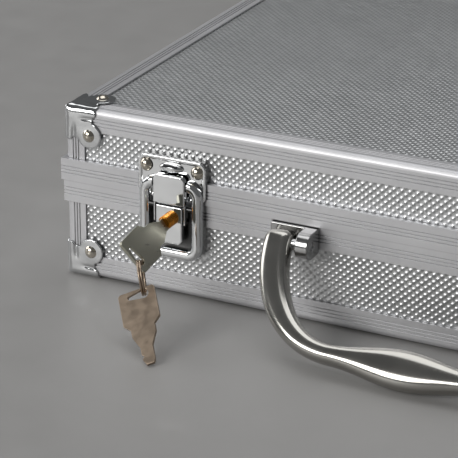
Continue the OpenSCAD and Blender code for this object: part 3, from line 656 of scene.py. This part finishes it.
folded = {  # plates with folded sides; top and bottom are corner radii, edge is the fold's radius
    "latch_hook": dict(top=2.2, bottom=0.5, depth=1.9, wall=0.5, edge=0.55, low=38.1, high=49.3, wide=12.8,
                       face=5.2, armThick=0.7, armLow=30.7, armDeep=2.6, armLap=3, armBack=0.7,
                       armRound=0.25),
    "latch_lever": dict(top=0.5, bottom=1.9, depth=1.9, wall=0.5, edge=0.5, low=22.9, high=37.4, wide=10.6,
                        face=5.0),
}


def makeFolded(kind, side):
    look = folded[kind]
    node = f"{kind}_{side}"
    low, high = span(node)
    middle = (look["low"] + look["high"]) / 2
    bm = bmesh.new()
    plate = roundedPlate(bm, look["wide"], look["high"] - look["low"], look["top"],
                         (0, middle, look["face"]), look["bottom"])
    outline = list(plate.edges)
    walls = bmesh.ops.extrude_edge_only(bm, edges=outline)["geom"]
    bmesh.ops.translate(bm, vec=(0, 0, -look["depth"]),
                        verts=[g for g in walls if isinstance(g, bmesh.types.BMVert)])
    bmesh.ops.recalc_face_normals(bm, faces=bm.faces)
    if sum(f.normal.z * f.calc_area() for f in bm.faces) < 0:
        bmesh.ops.reverse_faces(bm, faces=bm.faces)
    roundedEdges(bm, flatEdges(bm, look["face"]), look["edge"], 4)
    bmesh.ops.solidify(bm, geom=bm.faces[:], thickness=look["wall"])
    if kind == "latch_hook":  # side arms down to the pins
        armTop = look["low"] + look["armLap"]
        armSize = (look["armThick"], armTop - look["armLow"], look["armDeep"])
        armOut = look["face"] - look["armBack"] - look["armDeep"] / 2
        for hand in (-1, 1):
            arm = bmesh.ops.create_cube(bm, size=1)["verts"]
            bmesh.ops.scale(bm, vec=armSize, verts=arm)
            aside = hand * (look["wide"] - look["armThick"]) / 2
            bmesh.ops.translate(bm, vec=(aside, (armTop + look["armLow"]) / 2, armOut), verts=arm)
            roundedEdges(bm, list({e for v in arm for e in v.link_edges}), look["armRound"], 2)
    bmesh.ops.recalc_face_normals(bm, faces=bm.faces)
    place = onFront((low.x + high.x) / 2)
    piece = finished(node + "_plate", bm, bodyOf[node], "latch_chrome", "latchChrome", place=place,
                     flat=True)
    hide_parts(node)


plug = dict(radius=2.6, groove=2.25, back=1.4, ridges=((7.35, 8.0), (6.3, 6.85), (5.3, 5.8)), round=0.12,
            steps=40)


def plugProfile(front):  # [radius, out from the case], from the front's middle to the back's
    profile = [(0, front), (plug["groove"] - 0.3, front)]
    for low, high in plug["ridges"]:
        profile += [(plug["groove"], high + plug["round"]), (plug["radius"] - plug["round"], high),
                    (plug["radius"], high - plug["round"]), (plug["radius"], low + plug["round"]),
                    (plug["radius"] - plug["round"], low), (plug["groove"], low - plug["round"])]
    return profile + [(plug["groove"], plug["back"]), (0, plug["back"])]


def makePlug(side):
    node = "lock_plug_" + side
    low, high = span(node)
    bm = bmesh.new()
    profile = plugProfile(frontY - low.y)
    line = bmesh.ops.create_circle(bm, segments=len(profile), radius=1)["verts"]
    for vert, (radius, out) in zip(line, profile):
        vert.co = (radius, 0, out)
    bmesh.ops.delete(bm, geom=[e for e in bm.edges if all(abs(v.co.x) < 0.001 for v in e.verts)],
                     context="EDGES")
    bmesh.ops.spin(bm, geom=bm.verts[:] + bm.edges[:], cent=(0, 0, 0), axis=(0, 0, 1),
                   angle=math.radians(360), steps=plug["steps"], use_merge=True, use_duplicate=False)
    bmesh.ops.remove_doubles(bm, verts=bm.verts, dist=0.001)
    bmesh.ops.recalc_face_normals(bm, faces=bm.faces)
    # painted shade: faces down in the grooves take the dark groove brass
    for face in bm.faces:
        if abs(face.normal.z) < 0.2 and max(v.co.xy.length for v in face.verts) < plug["groove"] + 0.05:
            face.material_index = 1
    place = onFront((low.x + high.x) / 2) @ Matrix.Translation((0, (low.z + high.z) / 2, 0))
    piece = finished("plug_" + side, bm, "lock_" + side, "plug_brass", "plugBrass", "plugGrooveShade",
                     place=place)
    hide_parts(node)


for latchSide in ("left", "right"):
    makeLatchFrame(latchSide)
    makeKeeper(latchSide)
    makeFolded("latch_hook", latchSide)
    makeFolded("latch_lever", latchSide)
    makePlug(latchSide)
print("latches built")


# handle and its brackets

handle = dict(curve=((58.4, 0), (57.4, 18), (46, 36.6), (28, 37.4)), reach=37.4, tilt=45, gripAcross=6.9,
              gripThrough=5.1, valleyAcross=3.3, valleyThrough=4.6, eyeAcross=5.2, eyeThrough=3.8,
              valleyX=28, squareness=3.0, sides=32, bendSteps=22, gripSteps=14, endSteps=9,
              endRise=3.8)


def ease(value):
    return 0.5 - 0.5 * math.cos(math.pi * min(1, max(0, value)))


def handleSection(x):
    valley = handle["valleyX"]
    if x < valley:
        grow = ease(1 - x / valley)
        return (handle["valleyAcross"] + (handle["gripAcross"] - handle["valleyAcross"]) * grow,
                handle["valleyThrough"] + (handle["gripThrough"] - handle["valleyThrough"]) * grow)
    grow = ease((x - valley) / (handle["curve"][0][0] - valley))
    return (handle["valleyAcross"] + (handle["eyeAcross"] - handle["valleyAcross"]) * grow,
            handle["valleyThrough"] + (handle["eyeThrough"] - handle["valleyThrough"]) * grow)


def handleStations():
    knots = [Vector((x, 0, -reach)) for x, reach in handle["curve"]]
    bend = geometry.interpolate_bezier(*knots, handle["bendSteps"])
    grip = [Vector((handle["valleyX"] * (1 - i / handle["gripSteps"]), 0, -handle["reach"]))
            for i in range(1, handle["gripSteps"] + 1)]
    half = [Vector(p) for p in bend] + grip
    line = half + [Vector((-p.x, p.y, p.z)) for p in reversed(half[:-1])]
    stations = []
    for i, point in enumerate(line):
        along = (line[min(i + 1, len(line) - 1)] - line[max(i - 1, 0)]).normalized()
        across, through = handleSection(abs(point.x))
        sideways = along.cross((0, 1, 0)).normalized()
        stations.append((point, sideways * across, Vector((0, through, 0)), along))
    closing = []
    for step in range(handle["endSteps"], 0, -1):  # the arm's round end past its pivot
        angle = math.radians(89 * step / handle["endSteps"])
        point, sideways, through, along = stations[0]
        size = math.cos(angle) ** 0.55
        closing.append((point + Vector((0, 0, handle["endRise"] * math.sin(angle))), size * sideways,
                        size * through, along))
    ends = [(Vector((-p.x, p.y, p.z)), Vector((-s.x, s.y, s.z)), t, Vector((a.x, a.y, -a.z)))
            for p, s, t, a in closing]
    return closing + stations + ends[::-1]


def makeHandle():
    pinLow, pinHigh = span("handle_pins")
    pivot = Vector((0, (pinLow.y + pinHigh.y) / 2, (pinLow.z + pinHigh.z) / 2))
    bm = bmesh.new()
    ring = bmesh.ops.create_circle(bm, segments=handle["sides"], radius=1)["verts"]
    for vert in ring:
        vert.co.x = math.copysign(abs(vert.co.x) ** (2 / handle["squareness"]), vert.co.x)
        vert.co.y = math.copysign(abs(vert.co.y) ** (2 / handle["squareness"]), vert.co.y)
    edges = list({e for v in ring for e in v.link_edges})
    last = Matrix.Identity(4)
    loops = []
    for point, sideways, through, along in handleStations():
        here = Matrix((sideways.to_4d(), through.to_4d(), along.to_4d(), point.to_4d())).transposed()
        here[3] = (0, 0, 0, 1)
        if loops:
            grown = bmesh.ops.extrude_edge_only(bm, edges=edges)["geom"]
            ring = [g for g in grown if isinstance(g, bmesh.types.BMVert)]
            edges = [g for g in grown if isinstance(g, bmesh.types.BMEdge)]
        bmesh.ops.transform(bm, matrix=here @ last.inverted(), verts=ring)
        last = here
        loops.append(edges)
    for loop in (loops[0], loops[-1]):
        bmesh.ops.contextual_create(bm, geom=loop)
    bmesh.ops.recalc_face_normals(bm, faces=bm.faces)
    place = Matrix.Translation(pivot) @ Matrix.Rotation(math.radians(-handle["tilt"]), 4, "X")
    piece = finished("carry_grip", bm, "carry_handle", "handle_chrome", "handleChrome", sharp=60,
                     place=place)
    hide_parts("handle")


makeHandle()
for bracketSide in ("left", "right"):
    # painted shade: the brackets take the darkened bracket chrome
    softened("handle_bracket_" + bracketSide, 0.45, "bracketShadedChrome", segments=3)
print("handle built")


# keys

softened("key_in_lock", 0.2, "keyNickel", segments=3)
softened("spare_key", 0.2, "spareNickel", segments=3)
splitRing = dict(turns=2, sides=12, stepsPerTurn=56, wire=0.42)


def jointPlace(name):
    joint = next(j for j in frame["record"]["behaviour"]["joints"] if j["name"] == name)
    return Vector(joint["pos_m"]) / mm, Vector(joint["axis"]).normalized()


def makeSplitRing():
    upper, hinge = jointPlace("ring_swing")
    lower, hinge = jointPlace("spare_swing")
    middle = (upper + lower) / 2
    first = (upper - middle).normalized()
    axis = first.cross(hinge).normalized()
    wire = splitRing["wire"]
    radius = (upper - middle).length
    bm = bmesh.new()
    made = bmesh.ops.create_circle(bm, segments=splitRing["sides"], radius=wire)["verts"]
    bmesh.ops.rotate(bm, cent=(0, 0, 0), matrix=Matrix.Rotation(math.radians(90), 3, "X"), verts=made)
    bmesh.ops.translate(bm, vec=(radius, 0, -2 * wire), verts=made)
    edges = list({e for v in made for e in v.link_edges})
    steps = splitRing["turns"] * splitRing["stepsPerTurn"]
    bmesh.ops.spin(bm, geom=made + edges, cent=(0, 0, 0), axis=(0, 0, 1), dvec=(0, 0, 4 * wire / steps),
                   angle=math.radians(360 * splitRing["turns"]), steps=steps,
                   use_merge=False, use_duplicate=False)
    ends = [e for e in bm.edges if len(e.link_faces) == 1]
    bmesh.ops.holes_fill(bm, edges=ends, sides=splitRing["sides"])
    bmesh.ops.recalc_face_normals(bm, faces=bm.faces)
    turn = Matrix((first, axis.cross(first), axis)).transposed().to_4x4()
    piece = finished("split_ring", bm, "ring", "spare_nickel", "spareNickel",
                     place=Matrix.Translation(middle) @ turn)
    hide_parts("key_ring")


makeSplitRing()
print("keys built")


# trays and lid pad

for trayNode in ("chip_tray_left", "chip_tray_right", "card_tray"):
    softened(trayNode, 0.9, "trayFlock", segments=3, sharpest=40)

pad = dict(cuts=24, wrinkle=0.35)


def makePad():
    low, high = span("lid_pad")
    size = high - low
    middle = (low + high) / 2
    bm = bmesh.new()
    bmesh.ops.create_cube(bm, size=1)
    bmesh.ops.subdivide_edges(bm, edges=bm.edges, cuts=pad["cuts"], use_grid_fill=True)
    for vert in bm.verts:
        across, deep, up = vert.co * 2
        round4 = (1 - across ** 6) * (1 - deep ** 6)
        fullness = 0.62 + 0.38 * round4 ** 0.5
        vert.co = Vector((vert.co.x * (size.x - 1), vert.co.y * (size.y - 1),
                          vert.co.z * size.z * fullness))
        if up < 0:
            ripple = noise.noise(Vector((vert.co.x * 0.03, vert.co.y * 0.04, 1.5)))
            vert.co.z += pad["wrinkle"] * ripple * round4
    bmesh.ops.translate(bm, vec=middle, verts=bm.verts)
    piece = finished("lid_lining", bm, "lid", "pad_cloth", "padCloth", sharp=180)
    smooth = piece.modifiers.new("round", "SUBSURF")
    smooth.levels = 1
    smooth.render_levels = 1
    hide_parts("lid_pad")


makePad()
print("trays and pad made")


# floor and lights

stageLook = dict(size=6, tint=((0.36, 0.355, 0.35), (0.38, 0.375, 0.37)), rough=(0.42, 0.5))


def makeFloor():
    bm = bmesh.new()
    bmesh.ops.create_grid(bm, x_segments=8, y_segments=8, size=stageLook["size"] / 2)
    mesh = bpy.data.meshes.new("floor")
    bm.to_mesh(mesh)
    bm.free()
    made = Nodes("floorPaint")
    specks = made.noise(made.mapped((1, 1, 1)), 60, 4)
    made.join(made.tinted(specks, *stageLook["tint"]), made.shader.inputs["Base Color"])
    made.join(made.ranged(specks, *stageLook["rough"]), made.shader.inputs["Roughness"])
    mesh.materials.append(made.material)
    floor = bpy.data.objects.new("floor", mesh)
    scene.collection.objects.link(floor)


lights = {  # place, aim, width, height, power in watts, colour
    "key": dict(place=(-1.1, -2.0, 1.05), aim=(0, 0, 0.03), width=1.5, height=1.0, power=31,
                tint=(1.0, 0.99, 0.97)),
    "top": dict(place=(-0.3, 0.3, 2.0), aim=(0, 0, 0), width=1.6, height=1.6, power=12,
                tint=(1.0, 1.0, 1.0)),
    "left": dict(place=(-1.7, -0.1, 0.7), aim=(0, 0, 0.03), width=0.9, height=1.0, power=8,
                 tint=(1.0, 1.0, 1.0)),
}


def makeLight(name):
    look = lights[name]
    data = bpy.data.lights.new(name, "AREA")
    data.shape = "RECTANGLE"
    data.size = look["width"]
    data.size_y = look["height"]
    data.energy = look["power"]
    data.color = look["tint"]
    lamp = bpy.data.objects.new(name, data)
    scene.collection.objects.link(lamp)
    lamp.location = look["place"]
    lamp.rotation_mode = "QUATERNION"
    lamp.rotation_quaternion = (Vector(look["aim"]) - Vector(look["place"])).to_track_quat("-Z", "Y")


def makeWorld():
    world = bpy.data.worlds.new("studio")
    world.use_nodes = True
    world.node_tree.nodes["Background"].inputs["Color"].default_value = (0.105, 0.107, 0.108, 1)
    scene.world = world


makeFloor()
for lightName in lights:
    makeLight(lightName)
makeWorld()
print("floor and lights set")
